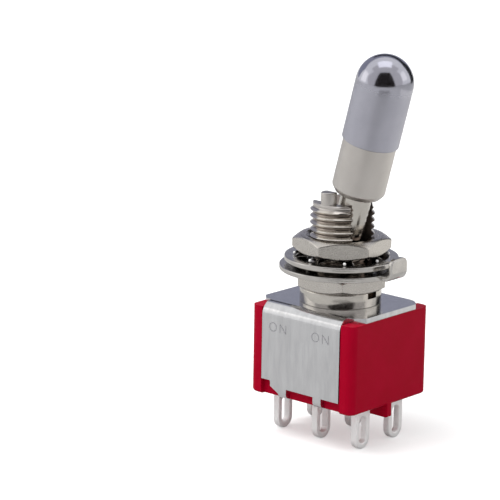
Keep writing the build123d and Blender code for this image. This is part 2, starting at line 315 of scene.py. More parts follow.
def mesh_of(form: Form, name: str = "form") -> bpy.types.Mesh:
    """Turn a form into a mesh, which uses the form up.

    Args:
        form: the form.
        name: name of the mesh.

    Returns:
        The mesh.
    """
    mesh = bpy.data.meshes.new(name)
    form.to_mesh(mesh)
    form.free()
    return mesh


def linked(name: str, data: bpy.types.ID) -> bpy.types.Object:
    """Put an object into the scene.

    Args:
        name: its name.
        data: its mesh, text, lamp or camera.

    Returns:
        The object.
    """
    item = bpy.data.objects.new(name, data)
    bpy.context.scene.collection.objects.link(item)
    return item


def evaluated_form(item: bpy.types.Object) -> Form:
    """Read the form that an object has with its modifiers.

    Args:
        item: the object.

    Returns:
        Its form.
    """
    evaluated = item.evaluated_get(bpy.context.evaluated_depsgraph_get())
    form = bmesh.new()
    form.from_mesh(evaluated.to_mesh())
    evaluated.to_mesh_clear()
    return form


def gathered(*forms: Form) -> Form:
    """Put several forms into one without joining their surfaces.

    Args:
        forms: the forms.

    Returns:
        One form with all of them.
    """
    whole = bmesh.new()
    for form in forms:
        mesh = mesh_of(form)
        whole.from_mesh(mesh)
        bpy.data.meshes.remove(mesh)
    return whole


def combined(base: Form, tools: Sequence[Form], how: Join) -> Form:
    """Combine a closed form exactly with others, one after the other.

    Args:
        base: the form to keep working on.
        tools: the forms that are added or removed.
        how: which of the two.

    Returns:
        The combined form.
    """
    for tool in tools:
        holders = [linked("form", mesh_of(form)) for form in (base, tool)]
        modifier = holders[0].modifiers.new("combine", "BOOLEAN")
        modifier.operation, modifier.solver, modifier.object = how.value, "EXACT", holders[1]
        base = evaluated_form(holders[0])
        for holder in holders:
            mesh = holder.data
            bpy.data.objects.remove(holder)
            bpy.data.meshes.remove(mesh)
        bmesh.ops.remove_doubles(base, verts=base.verts[:], dist=WELD)
    return base


def without(base: Form, *tools: Form) -> Form:
    """Cut forms out of another."""
    return combined(base, tools, Join.REMOVE)


def joined(base: Form, *tools: Form) -> Form:
    """Join forms to another."""
    return combined(base, tools, Join.ADD)


# ---------------------------------------------------------------- finishes


@dataclass
class Graph:
    """Node graph of a finish or of the surroundings, with short calls for adding nodes."""

    owner: Finish | bpy.types.World

    def __post_init__(self) -> None:
        """Start with an empty graph."""
        self.owner.use_nodes = True
        self.owner.node_tree.nodes.clear()

    @classmethod
    def named(cls, name: str) -> "Graph":
        """Graph of a new finish of that name."""
        return cls(bpy.data.materials.new(name))

    def fill(self, socket: Socket, value: object) -> None:
        """Link a socket to another, or set its value.

        Args:
            socket: the socket to fill.
            value: another node's socket, a number or a colour.
        """
        if isinstance(value, Socket):
            self.owner.node_tree.links.new(value, socket)
        else:
            socket.default_value = value

    def add(self, kind: str, inputs: Sequence[object] = (), **values: object) -> bpy.types.Node:
        """Add a node.

        Args:
            kind: node type after ShaderNode.
            inputs: values or links of its first sockets, in their order.
            values: the same by socket name, with spaces written as underscores; a name that
                starts with a small letter sets the node's own property.

        Returns:
            The new node.
        """
        node = self.owner.node_tree.nodes.new("ShaderNode" + kind)
        for name, value in values.items():
            if name[0].islower():
                setattr(node, name, value)
            else:
                self.fill(node.inputs[name.replace("_", " ")], value)
        for socket, value in zip(node.inputs, inputs):
            self.fill(socket, value)
        return node

    def place(self, stretch: Sequence[float] = (1, 1, 1), lean: float = 0.0) -> Socket:
        """Object coordinates in millimetres.

        Args:
            stretch: factor along each axis.
            lean: turn about Y in degrees, made before the stretch.

        Returns:
            The coordinates' socket.
        """
        source = self.add("TexCoord").outputs["Object"]
        turned = self.add("Mapping", Vector=source, Rotation=(0, math.radians(-lean), 0),
                          Scale=(1 / MM, 1 / MM, 1 / MM))
        return self.add("Mapping", Vector=turned.outputs[0], Scale=stretch).outputs[0]

    def noise(self, place: Socket, scale: float, detail: float, rough: float) -> Socket:
        """Soft noise with that many cells to the millimetre."""
        node = self.add("TexNoise", Vector=place, Scale=scale, Detail=detail, Roughness=rough)
        return node.outputs["Fac"]

    def ramp(self, value: Socket, low: tuple[float, Colour], high: tuple[float, Colour]) -> Socket:
        """Look a value up between two colours.

        Args:
            value: the value.
            low: position and colour of the first stop.
            high: position and colour of the second stop.

        Returns:
            The colour's socket.
        """
        node = self.add("ValToRGB", Fac=value)
        for element, (position, colour) in zip(node.color_ramp.elements, (low, high)):
            element.position = position
            element.color = (*colour, 1)
        return node.outputs["Color"]

    def spread(self, value: Socket, low: float, high: float, start: float = 0.3,
               end: float = 0.7) -> Socket:
        """Map part of a value's span to another.

        Args:
            value: the value.
            low: what start becomes.
            high: what end becomes.
            start: where the part starts, as a noise's useful part does.
            end: where it ends.

        Returns:
            The mapped value's socket.
        """
        node = self.add("MapRange", Value=value, From_Min=start, From_Max=end,
                        To_Min=low, To_Max=high)
        return node.outputs["Result"]

    def product(self, kind: str, first: Socket, second: Socket) -> Socket:
        """Two colours (kind VectorMath) or numbers (kind Math) multiplied."""
        return self.add(kind, (first, second), operation="MULTIPLY").outputs[0]

    def bump(self, height: Socket, depth: float) -> Socket:
        """Surface relief of that depth in millimetres."""
        return self.add("Bump", Height=height, Strength=1.0, Distance=depth * MM).outputs["Normal"]

    def finished(self, shader: bpy.types.Node) -> Finish:
        """Wire a shader to the output."""
        self.add("OutputMaterial", Surface=shader.outputs[0])
        return self.owner


@dataclass(frozen=True)
class PlatedMetal:
    """Plated or turned metal with faint blotches and tool marks.

    Attributes:
        name: name of the finish.
        bright: colour of its brighter blotches.
        dull: colour of its duller ones.
        roughness: lowest and highest roughness.
        blotch: blotches to the millimetre.
        marks: tool marks to the millimetre along each axis.
        mark_depth: their depth in millimetres.
        lean: how far the marks and the polish lean about Y, in degrees.
        groove_dirt_and_shade: two radii from the bushing's axis between which the darkening fades
            out, as in a thread; partly dirt, partly painted shade in the grooves.
        metallic: how far it mirrors as bare metal does.
        drift: stretch of the blotches along each axis.
        polish: levels where the polish starts and is full, and the share of roughness left.
    """

    name: str
    bright: Colour
    dull: Colour
    roughness: Point
    blotch: float = 0.9
    marks: Spot = (6.0, 6.0, 6.0)
    mark_depth: float = 0.0006
    lean: float = 0.0
    groove_dirt_and_shade: Point | None = None
    metallic: float = 1.0
    drift: Spot = (1.0, 1.0, 1.0)
    polish: Spot | None = None

    def material(self) -> Finish:
        """Build the finish.

        Returns:
            Its material.
        """
        graph = Graph.named(self.name)
        blotches = graph.noise(graph.place(self.drift), self.blotch, 4, 0.6)
        marks = graph.noise(graph.place(self.marks, self.lean), 1.0, 3, 0.6)
        colour = graph.ramp(blotches, (0.3, self.dull), (0.7, self.bright))
        rough = graph.spread(marks, *self.roughness)
        # Darken the colour towards the bushing's axis: partly dirt, partly painted shade in the
        # thread's grooves.
        if self.groove_dirt_and_shade:
            reach = graph.add("VectorMath", (graph.place((1, 1, 0)),), operation="LENGTH")
            share = graph.spread(reach.outputs["Value"], 0, 1, *self.groove_dirt_and_shade)
            groove_darkening = graph.ramp(share, (0, (0.27, 0.22, 0.2)), (1, (1, 1, 1)))
            colour = graph.product("VectorMath", colour, groove_darkening)
        if self.polish:
            start, full, left = self.polish
            along = graph.add("SeparateXYZ", Vector=graph.place(lean=self.lean)).outputs["Z"]
            rough = graph.product("Math", rough, graph.spread(along, 1, left, start, full))
        return graph.finished(graph.add(
            "BsdfPrincipled", Base_Color=colour, Metallic=self.metallic, Roughness=rough,
            Normal=graph.bump(marks, self.mark_depth)))


@dataclass(frozen=True)
class Moulding:
    """Moulded plastic with slight colour drift and a fine surface."""

    name: str
    base: Colour
    deep: Colour
    roughness: Point
    grain_depth: float = 0.0012
    gloss: float = 0.5

    def material(self) -> Finish:
        """Build the finish.

        Returns:
            Its material.
        """
        graph = Graph.named(self.name)
        place = graph.place()
        drift = graph.noise(place, 0.35, 3, 0.55)
        fine = graph.noise(place, 9, 4, 0.6)
        return graph.finished(graph.add(
            "BsdfPrincipled", Base_Color=graph.ramp(drift, (0.3, self.deep), (0.7, self.base)),
            Roughness=graph.spread(fine, *self.roughness), Specular_IOR_Level=self.gloss,
            Normal=graph.bump(fine, self.grain_depth)))


def evened(item: bpy.types.Object) -> bpy.types.Mesh:
    """Weight the normals of an object by face area, so that flats stay flat beside bevels.

    Args:
        item: the object.

    Returns:
        Its mesh with those normals.
    """
    modifier = item.modifiers.new("even", "WEIGHTED_NORMAL")
    modifier.keep_sharp = True
    graph = bpy.context.evaluated_depsgraph_get()
    mesh = bpy.data.meshes.new_from_object(item.evaluated_get(graph), preserve_all_data_layers=True,
                                           depsgraph=graph)
    item.modifiers.clear()
    mesh.name = item.name
    return mesh


def piece(name: str, form: Form, finish: Finish, body: Body,
          nodes: Sequence[str] = (), sharp: float = 32) -> bpy.types.Object:
    """Turn a form into a named piece that rides on a body.

    Args:
        name: name of the piece.
        form: its form.
        finish: its material.
        body: body that it rides on.
        nodes: CAD nodes that it stands for.
        sharp: angle in degrees above which an edge stays sharp.

    Returns:
        The new object.
    """
    bmesh.ops.scale(form, vec=(MM, MM, MM), verts=form.verts[:])
    mesh = mesh_of(form, name)
    mesh.materials.append(finish)
    mesh.shade_smooth()
    mesh.set_sharp_from_angle(angle=math.radians(sharp))
    item = linked(name, mesh)
    item.data = evened(item)
    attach(item, body.value)
    if nodes:
        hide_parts(*nodes)
    log.info("piece %s: %d faces on %s", name, len(mesh.polygons), body.value)
    return item


# ---------------------------------------------------------------- sub-assemblies


@dataclass
class Levels:
    """Levels up the Z axis in millimetres, from the panel seat at zero."""

    collar_top: float = -2.05
    frame_top: float = -3.45
    case_top: float = -3.95
    floor_top: float = -10.85
    case_foot: float = -12.35
    lug_foot: float = -16.29
    thread_top: float = 5.95
    pivot: float = 0.6


@dataclass
class Case:
    """Moulded case with side recesses, a divider below and a cavity for the contacts."""

    levels: Levels
    lugs: "SolderLugs"
    length: float = 12.3
    depth: float = 11.2
    edge_radius: float = 0.8
    foot_radius: float = 0.3
    recess_length: float = 9.46
    recess_over: float = 5.0
    core_half_depth: float = 5.15
    core_radius: float = 0.7
    core_foot_radius: float = 0.15
    cavity_length: float = 10.3
    cavity_width: float = 8.3
    divider_thickness: float = 0.6
    divider_height: float = 1.2
    divider_radius: float = 0.2
    divider_sunk: float = 0.5
    inner_thickness: float = 0.8
    inner_height: float = 2.2
    inner_sunk: float = 0.2
    seat_place: float = 2.1
    seat_width: float = 1.02
    seat_inward: float = 0.56
    seat_height: float = 0.53
    rim_edge: float = 0.05

    def recess(self) -> Form:
        """Shape what the frame's flaps and hooks take from the block's two sides.

        Returns:
            The cutting form: a slab less the core that stays.
        """
        at, deep, foot = self.levels, self.core_half_depth, self.levels.case_foot - HAIR
        profile = softened([
            (-deep, foot, self.core_foot_radius), (-deep, at.case_top, self.core_radius),
            (deep, at.case_top, self.core_radius), (deep, foot, self.core_foot_radius),
        ], 6)
        reach, over = self.recess_length / 2, self.recess_over
        slab = block((-reach, -FAR, at.case_foot - over), (reach, FAR, at.case_top + over))
        return without(slab, prism(profile, -self.length, self.length, Axis.X))

    def divider(self) -> Form:
        """Shape the bar below the case, between the two rows of lugs.

        Returns:
            The bar, with its foot's edges rounded.
        """
        half, foot, thick = self.length / 2, self.levels.case_foot, self.divider_thickness
        low, high = foot - self.divider_height, foot + self.divider_sunk
        outline = softened([(-half, low, self.divider_radius), (half, low, self.divider_radius),
                            (half, high), (-half, high)])
        return prism(outline, -thick / 2, thick / 2, Axis.Y)

    def inner_divider(self) -> Form:
        """Shape the low wall between the two poles' contacts.

        Returns:
            The wall, sunk into the cavity's floor and ends.
        """
        floor, sunk = self.levels.floor_top, self.inner_sunk
        span, half = self.cavity_length / 2 + sunk, self.inner_thickness / 2
        return block((-span, -half, floor - sunk), (span, half, floor + self.inner_height))

    def lug_slots(self) -> list[Form]:
        """Shape the cuts through the floor for the lugs.

        Returns:
            Six cutting blocks.
        """
        foot, top = self.levels.case_foot - OVER, self.levels.floor_top + OVER
        across, along = self.lugs.thickness / 2, self.lugs.width / 2
        return [block((x - across, y - along, foot), (x + across, y + along, top))
                for x, y in self.lugs.places.values()]

    def hook_seats(self) -> list[Form]:
        """Shape the notches in the core's foot for the frame's hooks.

        Returns:
            Four cutting blocks.
        """
        foot, half = self.levels.case_foot, self.seat_width / 2
        outer, inner = self.core_half_depth + OVER, self.core_half_depth - self.seat_inward
        seats = []
        for near, far in ((-outer, -inner), (inner, outer)):
            for x in (-self.seat_place, self.seat_place):
                low, high = (x - half, near, foot - OVER), (x + half, far, foot + self.seat_height)
                seats.append(block(low, high))
        return seats

    def form(self) -> Form:
        """Shape the whole case.

        Returns:
            Its form.
        """
        at = self.levels
        reach, span, gap = self.recess_length / 2, self.cavity_length / 2, self.cavity_width / 2
        plan = rounded_box(self.length / 2, self.depth / 2, self.edge_radius, 8)
        body = eased(prism(plan, at.case_foot, at.case_top), self.foot_radius, 60, 4,
                     lambda p: p.z < at.case_foot + HAIR)
        body = joined(without(body, self.recess()), self.divider())
        body = without(body, block((-span, -gap, at.floor_top), (span, gap, at.case_top + OVER)))
        body = without(joined(body, self.inner_divider()), *self.lug_slots(), *self.hook_seats())
        return eased(body, self.rim_edge, 50, 2,
                     lambda p: p.z > at.case_top - 0.01 or abs(abs(p.x) - reach) < 0.01)

    def build(self, finish: Finish) -> None:
        """Make the case."""
        piece("moulded_case", self.form(), finish, Body.CASE, ["housing"])


@dataclass
class FoldedFrame:
    """Sheet frame folded over the case, with hooks curled under it and stamped words."""

    levels: Levels
    sheet: float = 0.5
    middle_lap: float = 0.3
    flap_width: float = 9.3
    half_depth: float = 5.65
    bend: float = 1.2
    flap_foot: float = -11.35
    notch_side: float = -3.57
    notch_level: float = -10.82
    notch_radius: float = 0.12
    gusset_foot: float = -11.9
    gusset_width: float = 0.3
    gusset_lap: float = 0.1
    inset: float = 0.003
    wing_length: float = 12.14
    wing_depth: float = 8.8
    wing_corner: float = 0.8
    hook_width: float = 0.96
    hook_spacing: float = 4.2
    hook_reach: float = 0.5
    hook_bend: float = 0.56
    hook_edge: float = 0.1
    hook_lap: float = 0.17
    edge: float = 0.06
    bore: float = 3.3
    bore_parts: int = 96
    word: str = "ON"
    word_places: tuple[Point, ...] = ((-3.85, -6.08), (1.25, -6.08))
    letter_height: float = 0.95
    capital_share: float = 0.73
    letter_spacing: float = 1.25
    letter_thinning: float = -0.012
    letter_depth: float = 0.004

    def flap(self) -> Form:
        """Shape half of the frame, from the middle of the top plate over the bend and down.

        Returns:
            The form, with its stepped corner and the gusset beside the left hook.
        """
        at, face, back = self.levels, -self.half_depth, -self.half_depth + self.sheet
        profile = softened([
            (self.middle_lap, at.frame_top), (face, at.frame_top, self.bend),
            (face, self.flap_foot), (back, self.flap_foot),
            (back, at.case_top, self.bend - self.sheet), (self.middle_lap, at.case_top),
        ], 12)
        half, side, level = self.flap_width / 2, self.notch_side, self.notch_level
        corner = softened([(-half - OVER, level), (side, level, self.notch_radius),
                           (side, level - FAR), (-half - OVER, level - FAR)])
        form = without(prism(profile, -half, half, Axis.X),
                       prism(corner, face - OVER, back + OVER, Axis.Y))
        left, top = -self.hook_spacing / 2 - self.hook_width / 2, level - self.gusset_lap
        right = left + self.gusset_width
        web = [(side, top), (side, self.flap_foot), (left, self.gusset_foot),
               (right, self.gusset_foot), (right, top)]
        return joined(form, prism(web, face + self.inset, back - self.inset, Axis.Y))

    def hook(self, x: float) -> Form:
        """Shape the strip that runs on from the flap and curls under the case.

        Args:
            x: place of its middle along the flap.

        Returns:
            The strip, set inside the flap's faces by a hair.
        """
        face, foot = -self.half_depth + 2 * self.inset, self.levels.case_foot
        inner, top = face + self.sheet - 4 * self.inset, foot + self.sheet
        start, tip = self.flap_foot + self.hook_lap, inner + self.hook_reach
        profile = softened([
            (face, start), (face, foot, self.hook_bend), (tip, foot, self.hook_edge),
            (tip, top, self.hook_edge), (inner, top, self.hook_bend - self.sheet), (inner, start),
        ], 8)
        return prism(profile, x - self.hook_width / 2, x + self.hook_width / 2, Axis.X)

    def form(self) -> Form:
        """Shape the whole frame, which is the same turned half round.

        Returns:
            Its form.
        """
        at, cut = self.levels, self.wing_corner
        half, deep = self.wing_length / 2, self.wing_depth / 2
        plan = [(-half + cut, -deep), (half - cut, -deep), (half, -deep + cut), (half, deep - cut),
                (half - cut, deep), (-half + cut, deep), (-half, deep - cut), (-half, -deep + cut)]
        whole = prism(plan, at.case_top, at.frame_top)
        for turn in (0, 180):
            hooks = [self.hook(x) for x in (-self.hook_spacing / 2, self.hook_spacing / 2)]
            whole = joined(whole, moved(joined(self.flap(), *hooks), spun(turn)))
        circle = arc((0, 0), self.bore, 0, 360 - 360 / self.bore_parts, self.bore_parts - 1)
        whole = without(whole, prism(circle, at.case_top - OVER, at.frame_top + OVER))
        return eased(flattened(whole), self.edge, 40, 2)

    def words(self, finish: Finish) -> None:
        """Stamp the two switch positions near the plate's upper corners.

        Args:
            finish: grey finish of the letters, painted shade that stands in for their stamped
                relief.
        """
        for index, (left, foot) in enumerate(self.word_places):
            text = bpy.data.curves.new("word", "FONT")
            text.body = self.word
            text.size = self.letter_height / self.capital_share
            text.space_character = self.letter_spacing
            text.offset, text.extrude = self.letter_thinning, self.letter_depth
            holder = linked("word", text)
            form = evaluated_form(holder)
            bpy.data.objects.remove(holder)
            place = Matrix.Translation((left, -self.half_depth - HAIR, foot))
            form = moved(form, place @ Matrix.Rotation(math.pi / 2, 4, "X"))
            piece(f"plate_word_{index + 1}", form, finish, Body.CASE)

    def build(self, finish: Finish, letter_shade: Finish) -> None:
        """Make the frame and its words."""
        piece("folded_frame", self.form(), finish, Body.CASE, ["frame_bracket"])
        self.words(letter_shade)


@dataclass
class Bushing:
    """Threaded bushing with a collar, a lever slot, a keyway, a plain end land and two studs."""

    levels: Levels
    radius: float = 3.0
    pitch: float = 0.63
    first_crest: float = 0.66
    groove: float = 0.3
    groove_power: float = 0.8
    thread_sunk: float = 0.4
    land_radius: float = 2.75
    land_foot: float = 5.55
    end_chamfer: float = 0.1
    collar_radius: float = 3.8
    spigot: float = 3.3
    rivet_radius: float = 3.7
    rivet_height: float = 0.35
    slot_width: float = 3.1
    slot_floor: float = 2.45
    pocket_reach: float = 2.147
    ball_seat: float = 2.05
    seat_mouth: float = 2.6
    seat_rise: float = 2.3
    key_width: float = 1.2
    key_depth: float = 0.5
    key_foot: float = -2.65
    stud_radius: float = 0.74
    stud_offset: float = 2.0
    stud_height: float = 1.15
    stud_sunk: float = 0.3
    stud_edge: float = 0.12
    steps: int = 120
    parts: int = 10

    def surface(self, turns: float, level: float) -> float:
        """Work out the radius of the thread or the end land.

        Args:
            turns: turns along the helix from a crest.
            level: level up the bushing.

        Returns:
            The radius there.
        """
        depth = (0.5 - 0.5 * math.cos(TURN * turns)) ** self.groove_power
        plain = max(self.land_radius, self.land_radius + self.land_foot - level)
        return min(self.radius - self.groove * depth, plain)

    def spot(self, mark: float, step: int) -> Spot:
        """Find a point of the helical surface.

        Args:
            mark: turns along the helix.
            step: step round the axis.

        Returns:
            The point, no lower than the thread's foot and no higher than its end.
        """
        foot, top = self.levels.frame_top + self.thread_sunk, self.levels.thread_top
        share = step / self.steps
        level = min(max((mark + share + self.first_crest) * self.pitch, foot), top)
        radius = self.surface(level / self.pitch - share - self.first_crest, level)
        radius = min(radius, self.land_radius - self.end_chamfer + (top - level))
        return radius * math.cos(TURN * share), radius * math.sin(TURN * share), level

    def thread(self) -> Form:
        """Shape the helical thread and end land, from inside the collar to the slotted end.

        Returns:
            One closed form; past its seam each row runs on into the one a turn higher.
        """
        first = math.floor((self.levels.frame_top + self.thread_sunk) / self.pitch) - 3
        last = math.ceil(self.levels.thread_top / self.pitch) + 1
        marks = [part / self.parts for part in range(first * self.parts, last * self.parts)]
        form = bmesh.new()
        rows = [[form.verts.new(self.spot(mark, step)) for step in range(self.steps)]
                for mark in marks]
        higher = rows[self.parts:] + [rows[-1]] * self.parts
        rows = [[*row, after[0]] for row, after in zip(rows, higher)]
        for low, high in zip(rows, rows[1:]):
            for step in range(self.steps):
                cover(form, (low[step], low[step + 1], high[step + 1], high[step]))
        bmesh.ops.remove_doubles(form, verts=form.verts[:], dist=10 * WELD)
        bmesh.ops.dissolve_degenerate(form, edges=form.edges[:], dist=WELD)
        rim = [edge for edge in form.edges if edge.is_boundary]
        bmesh.ops.holes_fill(form, edges=rim, sides=0)
        return faced(form)

    def end_stud(self, side: int) -> Form:
        """Shape one of the two round studs on the end land, milled by the slot.

        Args:
            side: -1 for the front one, 1 for the back one.

        Returns:
            The stud.
        """
        radius, half = self.stud_radius, self.slot_width / 2
        top = self.levels.thread_top + self.stud_height
        foot = top - self.stud_height - self.stud_sunk
        form = moved(lathe([(0, foot), (radius, foot), (radius, top), (0, top)], 48),
                     Matrix.Translation((0, side * self.stud_offset, 0)))
        form = without(form, block((-FAR, -half, top - FAR), (FAR, half, top + FAR)))
        return eased(flattened(form), self.stud_edge, 60, 4, lambda p: p.z > top - HAIR)

    def form(self) -> Form:
        """Shape the whole bushing.

        Returns:
            Its form.
        """
        at, foot = self.levels, self.levels.case_top - self.rivet_height
        body = lathe(softened([
            (0, foot), (self.rivet_radius, foot, 0.08), (self.rivet_radius, at.case_top),
            (self.spigot, at.case_top), (self.spigot, at.frame_top),
            (self.collar_radius, at.frame_top, 0.06), (self.collar_radius, at.collar_top, 0.15),
            (0, at.collar_top),
        ], 3, False))
        half, reach, key = self.slot_width / 2, self.pocket_reach, self.key_width / 2
        above = self.slot_floor + 0.1
        slot = block((-FAR, -half, self.slot_floor), (FAR, half, FAR))
        pocket = block((-reach, -half, at.pivot), (reach, half, above))
        seat = lathe([
            (0, foot - OVER), (self.seat_mouth, foot - OVER), (self.seat_mouth, foot),
            (self.ball_seat, foot + self.seat_rise),
            *arc((0, at.pivot), self.ball_seat, 0, 89, 12), (0, at.pivot + self.ball_seat),
        ], 64)
        keyway = block((self.radius - self.key_depth, -key, self.key_foot), (FAR, key, above))
        body = without(joined(body, self.thread()), slot, pocket, seat, keyway)
        return gathered(body, self.end_stud(-1), self.end_stud(1))

    def area_of(self, face: bpy.types.MeshPolygon) -> Area:
        """Tell which area a face belongs to.

        Args:
            face: the face.

        Returns:
            Its area.
        """
        level, side = face.center.z / MM, abs(face.center.y / MM)
        if abs(face.normal.y) > 0.99 and abs(side - self.slot_width / 2) < 0.02:
            return Area.SLOT_WALL
        if level > self.land_foot - 0.05:
            return Area.END
        return Area.THREAD if level > self.levels.collar_top else Area.COLLAR

    def build(self, turned: Finish, cut: Finish, end: Finish, slot_shade: Finish) -> None:
        """Make the bushing.

        Args:
            turned: finish of the collar and all below the thread.
            cut: finish of the thread.
            end: finish of the end land and the studs.
            slot_shade: dull finish of the slot's walls, darker than the plate: painted shade inside
                the slot.
        """
        bushing = piece("threaded_bushing", self.form(), turned, Body.CASE,
                        ["bushing"], 30)
        for finish in (cut, end, slot_shade):
            bushing.data.materials.append(finish)
        for face in bushing.data.polygons:
            face.material_index = self.area_of(face).value


@dataclass
class HexNut:
    """Thin hexagon nut with turned chamfers and open thread mouths."""

    name: str
    node: str
    foot: float
    turn: float
    flats: float = 8.0
    height: float = 1.6
    hole: float = 3.02
    mouth: float = 0.35
    corner_radius: float = 0.18
    chamfer_angle: float = 30.0
    chamfer_start: float = 0.12
    edge: float = 0.05
    flat_parts: int = 18

    def plan(self) -> list[Point]:
        """Lay points round the hexagon.

        Returns:
            Its points, close on the flats and rounded at the corners.
        """
        corner = self.flats / 2 / math.cos(math.radians(30))
        spins = [math.radians(60 * side + 30) for side in range(6)]
        rounded = softened([(corner * math.cos(spin), corner * math.sin(spin), self.corner_radius)
                            for spin in spins], 6)
        points: list[Point] = []
        for (x, y), (u, v) in zip(rounded, rounded[1:] + rounded[:1]):
            count = self.flat_parts if math.dist((x, y), (u, v)) > self.corner_radius else 1
            points += [(x + (u - x) * k / count, y + (v - y) * k / count) for k in range(count)]
        return points

    def form(self) -> Form:
        """Shape the nut in columns: from the mouth over the top, down a flat and back under.

        Returns:
            Its form.
        """
        slope = math.tan(math.radians(self.chamfer_angle))
        land, ease = self.flats / 2 - self.chamfer_start, self.edge
        columns = []
        for x, y in self.plan():
            reach = math.hypot(x, y)
            drop = (reach - land) * slope
            stops = [
                (self.hole, self.mouth), (self.hole + self.mouth, 0.0), (land - ease, 0.0),
                (land + ease, ease * slope), (reach - ease, drop - ease * slope),
                (reach, drop + ease),
            ]
            stops += [(radius, self.height - level) for radius, level in reversed(stops)]
            u, v = x / reach, y / reach
            columns.append([(u * radius, v * radius, level) for radius, level in stops])
        return moved(skinned(list(zip(*columns)), closed=True),
                     Matrix.Translation((0, 0, self.foot)) @ spun(self.turn))

    def build(self, finish: Finish) -> None:
        """Make the nut."""
        piece(self.name, self.form(), finish, Body.CASE, [self.node], 24)


@dataclass
class LockWasher:
    """Lock washer with twisted inner teeth."""

    radius: float = 5.3
    rim: float = 0.95
    rim_edges: Point = (0.08, 0.1)
    thickness: float = 0.5
    gap: float = 1.2
    teeth: int = 8
    tooth_root: float = 3.25
    tooth_width: float = 1.55
    tooth_thickness: float = 0.42
    tooth_edge: float = 0.08
    tooth_parts: int = 8
    twist: float = 33.0
    twist_start: float = 0.3
    twist_length: float = 0.45
    turn: float = 0.9
    glint: float = 0.02
    # The beads below are painted glints: small white bumps where the teeth glint.
    glint_bead_reach: float = 4.34
    glint_bead_turn: float = -46.6
    glint_bead_radius: float = 0.15
    glint_bead_sunk: float = 0.04

    def tooth(self) -> Form:
        """Shape one tooth, flat at the rim and twisted towards its tip.

        Returns:
            Its form.
        """
        outer = self.radius - self.rim / 2
        section = rounded_box(self.tooth_width / 2, self.tooth_thickness / 2, self.tooth_edge, 2)
        rings = []
        for part in range(self.tooth_parts + 1):
            reach = outer + (self.tooth_root - outer) * (part / self.tooth_parts)
            share = (outer - self.twist_start - reach) / self.twist_length
            angle = math.radians(self.twist) * min(1.0, max(0.0, share))
            cos, sin = math.cos(angle), math.sin(angle)
            rings.append([(reach, u * cos - v * sin, u * sin + v * cos) for u, v in section])
        return skinned(rings, capped=True)

    def round_teeth(self, start: float) -> list[Matrix]:
        """Turns to every tooth's place, from that angle in degrees."""
        return [spun(start + 360 * index / self.teeth) for index in range(self.teeth)]

    def form(self) -> Form:
        """Shape the rim and the teeth.

        Returns:
            Their form.
        """
        inner, half = self.radius - self.rim, self.thickness / 2
        rim = flat_ring(inner, self.radius, -half, half, self.rim_edges, 128)
        teeth = [moved(self.tooth(), turn) for turn in self.round_teeth(self.turn)]
        return moved(gathered(rim, *teeth), Matrix.Translation((0, 0, self.gap / 2)))

    def glint_beads(self) -> Form:
        """Shape the small beads beside the teeth, whose white finish paints the teeth's glints.

        Returns:
            Their form.
        """
        bead = self.glint_bead_radius
        outline = [(0, -bead), *arc((0, 0), bead, -60, 60, 4), (0, bead)]
        seat = Matrix.Translation((self.glint_bead_reach, 0, self.gap - bead - self.glint_bead_sunk))
        turns = self.round_teeth(self.glint_bead_turn)
        return gathered(*[moved(lathe(outline, 12), turn @ seat) for turn in turns])

    def build(self, finish: Finish, shade: Finish, glow: Finish) -> None:
        """Make the washer and the beads that paint its glints.

        Args:
            finish: finish of the rim and of the teeth's narrow edges.
            shade: near-black finish of the teeth's broad faces, painted shade in the gap under the
                upper nut.
            glow: white finish of the beads, a painted glint.
        """
        # White beads beside the teeth: painted glints.
        piece("washer_glint_beads", self.glint_beads(), glow, Body.CASE)
        washer = piece("toothed_washer", self.form(), finish, Body.CASE,
                       ["lock_washer"])
        washer.data.materials.append(shade)
        # Broad tooth faces inside the rim take the near-black finish: painted shade in the gap
        # under the upper nut.
        for face in washer.data.polygons:
            inside = face.center.xy.length < (self.radius - self.rim) * MM
            if inside and face.area > self.glint * MM**2:
                face.material_index = 1


@dataclass
class LocatingRing:
    """Flat keyed ring with a tab bent up at its edge."""

    radius: float = 5.75
    hole: float = 3.05
    thickness: float = 0.45
    edges: Point = (0.04, 0.08)
    tab_root: float = 4.6
    tab_width: float = 2.2
    tab_reach: float = 6.9
    tab_height: float = 1.7
    tab_bend: float = 0.9
    tab_corner: float = 0.65
    tab_edge: float = 0.07
    key_width: float = 1.1
    key_tip: float = 2.55

    def tab_path(self) -> list[tuple[Point, Point]]:
        """Follow the tab's middle from the ring up to its end.

        Returns:
            (x, z) of each point and the direction across the sheet there.
        """
        middle = self.tab_bend - self.thickness / 2
        centre = (self.tab_reach - self.tab_bend, -self.thickness + self.tab_bend)
        path = [((self.tab_root, -self.thickness / 2), (0.0, 1.0))]
        for x, z in arc((0, 0), 1.0, -90, 0, 10):
            path.append(((centre[0] + middle * x, centre[1] + middle * z), (-x, -z)))
        face = self.tab_reach - self.thickness / 2
        for share in (0.0, 0.3, 0.55, 0.75, 0.9, 0.97, 1.0):
            path.append(((face, self.tab_height - self.tab_corner * (1 - share)), (-1.0, 0.0)))
        return path

    def tab(self) -> Form:
        """Shape the strip that leaves the ring flat, bends up and ends in rounded corners.

        Returns:
            Its form.
        """
        corner, rings = self.tab_corner, []
        for (x, z), (across_x, across_z) in self.tab_path():
            over = max(0.0, z - (self.tab_height - corner))
            half = self.tab_width / 2 - corner + math.sqrt(max(corner**2 - over**2, 0.0004))
            section = rounded_box(half, self.thickness / 2, self.tab_edge, 2)
            rings.append([(x + v * across_x, u, z + v * across_z) for u, v in section])
        return skinned(rings, capped=True)

    def form(self) -> Form:
        """Shape the ring with its inner key and its tab.

        Returns:
            Its form.
        """
        half, foot = self.key_width / 2, -self.thickness
        key = block((self.key_tip, -half, foot), (self.hole + 0.4, half, 0))
        return joined(flat_ring(self.hole, self.radius, foot, 0, self.edges, 144), key, self.tab())

    def build(self, finish: Finish) -> None:
        """Make the ring."""
        piece("keyed_ring", self.form(), finish, Body.CASE, ["locating_ring"])


